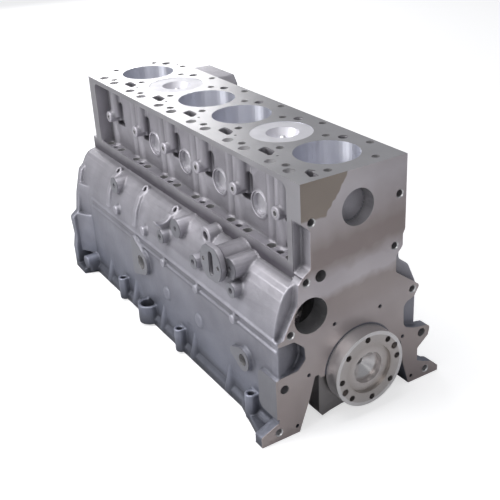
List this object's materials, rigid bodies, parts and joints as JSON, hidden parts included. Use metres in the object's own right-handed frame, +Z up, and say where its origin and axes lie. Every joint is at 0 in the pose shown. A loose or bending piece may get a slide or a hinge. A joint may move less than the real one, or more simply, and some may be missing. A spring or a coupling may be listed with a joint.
{
  "type": "engine block",
  "caption": "Inline-six diesel short block: iron cylinder block with open pushrod chamber, crankshaft, rods, pistons and main caps.",
  "frame": {"origin": "where the crankshaft's axis meets the block's rear face, inside the crankshaft flange's rim", "axes": "+X along the crankshaft towards the flywheel, +Z up to the deck, -Y towards the camshaft side"},
  "size_m": [0.837, 0.354, 0.41],
  "materials": {
    "block_iron": "shot-blasted casting, machined faces",
    "cap_iron": "as cast, machined seats",
    "crank_steel": "forged webs, ground journals",
    "gear_steel": "machined",
    "rod_steel": "forged",
    "pin_steel": "ground",
    "bolt_steel": "dark, phosphated",
    "plug_steel": "pressed steel",
    "shell_metal": "bearing metal",
    "piston_alloy": "turned",
    "ring_iron": "machined",
    "bush_bronze": "machined"
  },
  "bodies": {
    "root": {"cam_bushing": "bush_bronze", "connecting_rod_1": "rod_steel", "connecting_rod_2": "rod_steel", "connecting_rod_3": "rod_steel", "connecting_rod_4": "rod_steel", "connecting_rod_5": "rod_steel", "connecting_rod_6": "rod_steel", "core_plugs": "plug_steel", "crank_gear": "gear_steel", "crankshaft": "crank_steel", "cylinder_block": "block_iron", "lower_main_shells": "shell_metal", "lower_rod_shells": "shell_metal", "main_cap_1": "cap_iron", "main_cap_2": "cap_iron", "main_cap_3": "cap_iron", "main_cap_4": "cap_iron", "main_cap_5": "cap_iron", "main_cap_6": "cap_iron", "main_cap_7": "cap_iron", "main_cap_bolts": "bolt_steel", "oil_rings": "ring_iron", "pin_circlips": "bolt_steel", "piston_1": "piston_alloy", "piston_2": "piston_alloy", "piston_3": "piston_alloy", "piston_4": "piston_alloy", "piston_5": "piston_alloy", "piston_6": "piston_alloy", "piston_pin_1": "pin_steel", "piston_pin_2": "pin_steel", "piston_pin_3": "pin_steel", "piston_pin_4": "pin_steel", "piston_pin_5": "pin_steel", "piston_pin_6": "pin_steel", "rod_bolts": "bolt_steel", "rod_cap_1": "rod_steel", "rod_cap_2": "rod_steel", "rod_cap_3": "rod_steel", "rod_cap_4": "rod_steel", "rod_cap_5": "rod_steel", "rod_cap_6": "rod_steel", "second_rings": "ring_iron", "small_end_bushes": "bush_bronze", "thrust_washers": "shell_metal", "top_rings": "ring_iron", "upper_main_shells": "shell_metal", "upper_rod_shells": "shell_metal"}
  },
  "joints": []
}
